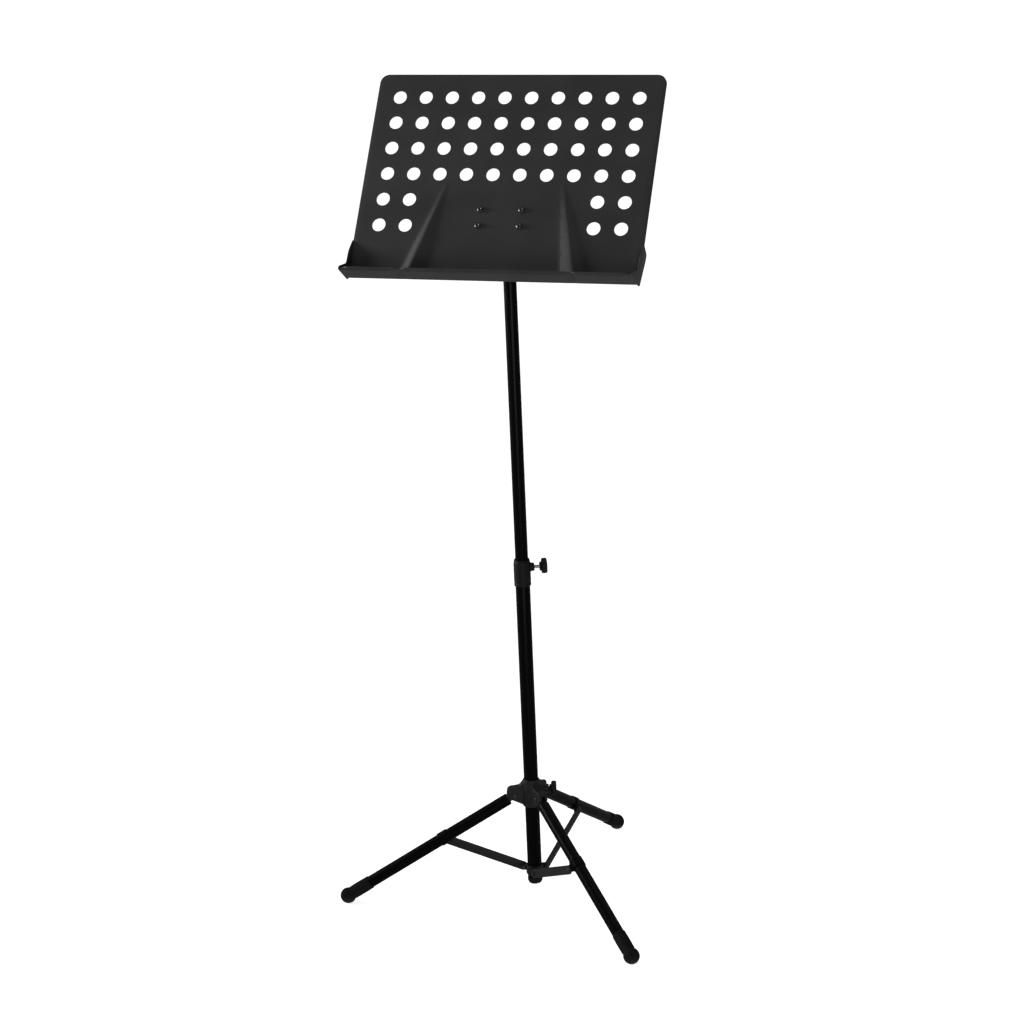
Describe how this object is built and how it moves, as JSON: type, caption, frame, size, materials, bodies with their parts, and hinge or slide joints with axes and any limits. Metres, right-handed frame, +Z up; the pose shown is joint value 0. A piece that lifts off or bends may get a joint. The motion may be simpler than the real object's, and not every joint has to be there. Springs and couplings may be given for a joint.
{
  "type": "music stand",
  "caption": "Folding orchestra music stand: perforated tilting steel desk with a sheet shelf on a telescopic pole over a strutted tripod with rubber feet.",
  "frame": {"origin": "on the floor, under the middle of the stand's bounding box", "axes": "+Z up the pole, -Y the way the desk faces, +X to the reader's right"},
  "size_m": [0.5836, 0.5816, 1.4319],
  "materials": {
    "desk_paint": "satin black powder coat with a fine orange peel",
    "gloss_paint": "smooth glossy black enamel on steel tube",
    "cast_paint": "semi-gloss black paint on castings and pressed steel",
    "black_plastic": "fine-grained black moulded plastic",
    "knob_plastic": "black moulded grips with worn lobes",
    "rubber": "matte black rubber, dusty and scuffed at the floor",
    "bright_steel": "zinc-plated screw steel",
    "dark_steel": "black-oxide fasteners and rivets",
    "nylon": "natural nylon"
  },
  "bodies": {
    "pole": {"outer_tube": "gloss_paint", "pole_end_cap": "black_plastic", "strut_hub": "cast_paint", "clamp_collar": "black_plastic", "collar_liner": "black_plastic", "strut_pin_a": "dark_steel", "strut_pin_b": "dark_steel", "strut_pin_c": "dark_steel"},
    "hub": {"leg_hub": "cast_paint", "hub_pin_a": "dark_steel", "hub_pin_b": "dark_steel", "hub_pin_c": "dark_steel"},
    "leg_a": {"leg_tube_a": "gloss_paint", "leg_eye_a": "cast_paint", "strut_clip_a": "gloss_paint", "rubber_foot_a": "rubber"},
    "leg_b": {"leg_tube_b": "gloss_paint", "leg_eye_b": "cast_paint", "strut_clip_b": "gloss_paint", "rubber_foot_b": "rubber"},
    "leg_c": {"leg_tube_c": "gloss_paint", "leg_eye_c": "cast_paint", "strut_clip_c": "gloss_paint", "rubber_foot_c": "rubber"},
    "strut_a": {"strut_a": "cast_paint", "strut_rivet_a": "dark_steel"},
    "strut_b": {"strut_b": "cast_paint", "strut_rivet_b": "dark_steel"},
    "strut_c": {"strut_c": "cast_paint", "strut_rivet_c": "dark_steel"},
    "slider": {"guide_bush": "nylon"},
    "mast": {"inner_tube": "gloss_paint", "tilt_head": "cast_paint", "friction_washer_left": "nylon", "friction_washer_right": "nylon"},
    "desk": {"desk_panel": "desk_paint", "tilt_bracket": "desk_paint", "pivot_bolt": "bright_steel", "spring_washer": "bright_steel", "desk_bolt_1": "dark_steel", "desk_nut_1": "bright_steel", "desk_bolt_2": "dark_steel", "desk_nut_2": "bright_steel", "desk_bolt_3": "dark_steel", "desk_nut_3": "bright_steel", "desk_bolt_4": "dark_steel", "desk_nut_4": "bright_steel"},
    "tilt_knob": {"tilt_knob": "knob_plastic"},
    "clamp_pad": {"clamp_pad": "nylon"},
    "clamp_screw": {"clamp_screw": "bright_steel", "clamp_knob": "knob_plastic"},
    "hub_lock_pad": {"hub_lock_pad": "nylon"},
    "hub_lock_screw": {"hub_lock_screw": "bright_steel", "hub_lock_knob": "knob_plastic"}
  },
  "joints": [
    {"name": "tripod_fold", "type": "slide", "parent": "pole", "child": "hub", "axis": [0, 0, 1], "range_m": [0, 0.14827]},
    {"name": "leg_a_fold", "type": "hinge", "parent": "hub", "child": "leg_a", "pos_m": [0.00944, -0.05881, 0.192], "axis": [0.309, -0.9511, 0], "range_deg": [0, 52]},
    {"name": "leg_b_fold", "type": "hinge", "parent": "hub", "child": "leg_b", "pos_m": [0.05813, -0.06973, 0.192], "axis": [0.6858, 0.7278, 0], "range_deg": [0, 52]},
    {"name": "leg_c_fold", "type": "hinge", "parent": "hub", "child": "leg_c", "pos_m": [0.04171, -0.02123, 0.192], "axis": [-0.9869, 0.1616, 0], "range_deg": [0, 52]},
    {"name": "strut_a_fold", "type": "hinge", "parent": "pole", "child": "strut_a", "pos_m": [0.018, -0.05602, 0.052], "axis": [0.309, -0.9511, 0], "range_deg": [-60.7, 0]},
    {"name": "strut_b_fold", "type": "hinge", "parent": "pole", "child": "strut_b", "pos_m": [0.05158, -0.06356, 0.052], "axis": [0.6858, 0.7278, 0], "range_deg": [-60.7, 0]},
    {"name": "strut_c_fold", "type": "hinge", "parent": "pole", "child": "strut_c", "pos_m": [0.04026, -0.03011, 0.052], "axis": [-0.9869, 0.1616, 0], "range_deg": [-60.7, 0]},
    {"name": "mast_height", "type": "slide", "parent": "pole", "child": "slider", "axis": [0, 0, 1], "range_m": [-0.4, 0.04]},
    {"name": "mast_swivel", "type": "hinge", "parent": "slider", "child": "mast", "pos_m": [0.03703, -0.04984, 0.48], "axis": [0, 0, 1], "continuous": true},
    {"name": "desk_tilt", "type": "hinge", "parent": "mast", "child": "desk", "pos_m": [0.03703, -0.04984, 1.191], "axis": [-1, 0, 0], "range_deg": [-34, 56]},
    {"name": "tilt_knob_turn", "type": "hinge", "parent": "desk", "child": "tilt_knob", "pos_m": [0.06703, -0.04984, 1.191], "axis": [1, 0, 0], "range_deg": [0, 360]},
    {"name": "clamp_release", "type": "slide", "parent": "pole", "child": "clamp_pad", "axis": [0.9135, 0.4067, 0], "range_m": [0, 0.0013]},
    {"name": "clamp_turn", "type": "hinge", "parent": "clamp_pad", "child": "clamp_screw", "pos_m": [0.06991, -0.0352, 0.607], "axis": [0.9135, 0.4067, 0], "range_deg": [0, 360]},
    {"name": "hub_lock_release", "type": "slide", "parent": "hub", "child": "hub_lock_pad", "axis": [0.9511, 0.309, 0], "range_m": [0, 0.0013]},
    {"name": "hub_lock_turn", "type": "hinge", "parent": "hub_lock_pad", "child": "hub_lock_screw", "pos_m": [0.07316, -0.0381, 0.202], "axis": [0.9511, 0.309, 0], "range_deg": [0, 360]}
  ],
  "couplings": [
    {"joint": "leg_a_fold", "follows": "tripod_fold", "rad_per_m": 6.0504},
    {"joint": "leg_b_fold", "follows": "tripod_fold", "rad_per_m": 6.0504},
    {"joint": "leg_c_fold", "follows": "tripod_fold", "rad_per_m": 6.0504},
    {"joint": "strut_a_fold", "follows": "tripod_fold", "rad_per_m": -7.0807},
    {"joint": "strut_b_fold", "follows": "tripod_fold", "rad_per_m": -7.0807},
    {"joint": "strut_c_fold", "follows": "tripod_fold", "rad_per_m": -7.0807},
    {"joint": "clamp_release", "follows": "clamp_turn", "m_per_rad": 0.00019894},
    {"joint": "hub_lock_release", "follows": "hub_lock_turn", "m_per_rad": 0.00019894}
  ]
}
